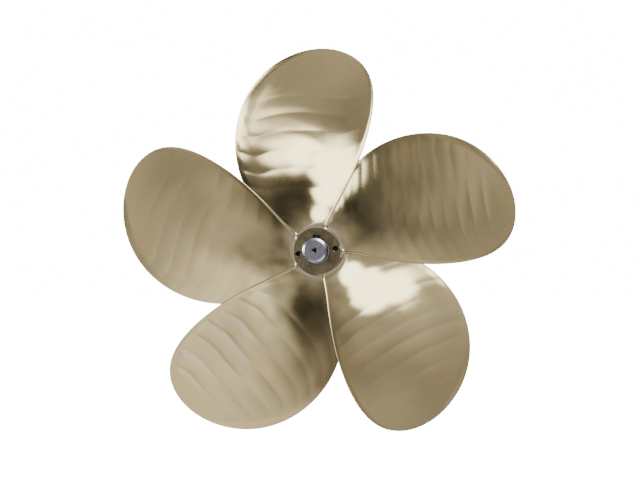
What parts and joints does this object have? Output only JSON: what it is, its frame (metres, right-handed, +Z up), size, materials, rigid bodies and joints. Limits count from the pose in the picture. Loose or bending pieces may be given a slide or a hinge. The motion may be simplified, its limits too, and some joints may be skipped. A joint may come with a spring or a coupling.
{
  "type": "boat propeller",
  "caption": "Left-hand bronze boat propeller with wide overlapping blades, keyed on the tapered, threaded end of a steel tail shaft.",
  "frame": {"origin": "on the shaft's axis at the hub's forward face, where the shaft's taper starts", "axes": "+Y forward along the shaft to the boat, +Z up through the key and the tip of blade_1, +X to the right as seen from aft"},
  "size_m": [0.641, 0.3644, 0.624],
  "materials": {
    "propeller_bronze": "satin, hand ground",
    "shaft_steel": "turned",
    "key_steel": "ground"
  },
  "bodies": {
    "shaft": {"tail_shaft": "shaft_steel", "shaft_key": "key_steel"},
    "propeller": {"hub": "propeller_bronze", "blade_1": "propeller_bronze", "blade_2": "propeller_bronze", "blade_3": "propeller_bronze", "blade_4": "propeller_bronze", "blade_5": "propeller_bronze"}
  },
  "joints": [
    {"name": "propeller_draw_off", "type": "slide", "parent": "shaft", "child": "propeller", "axis": [0, -1, 0], "range_m": [0, 0.24]}
  ]
}
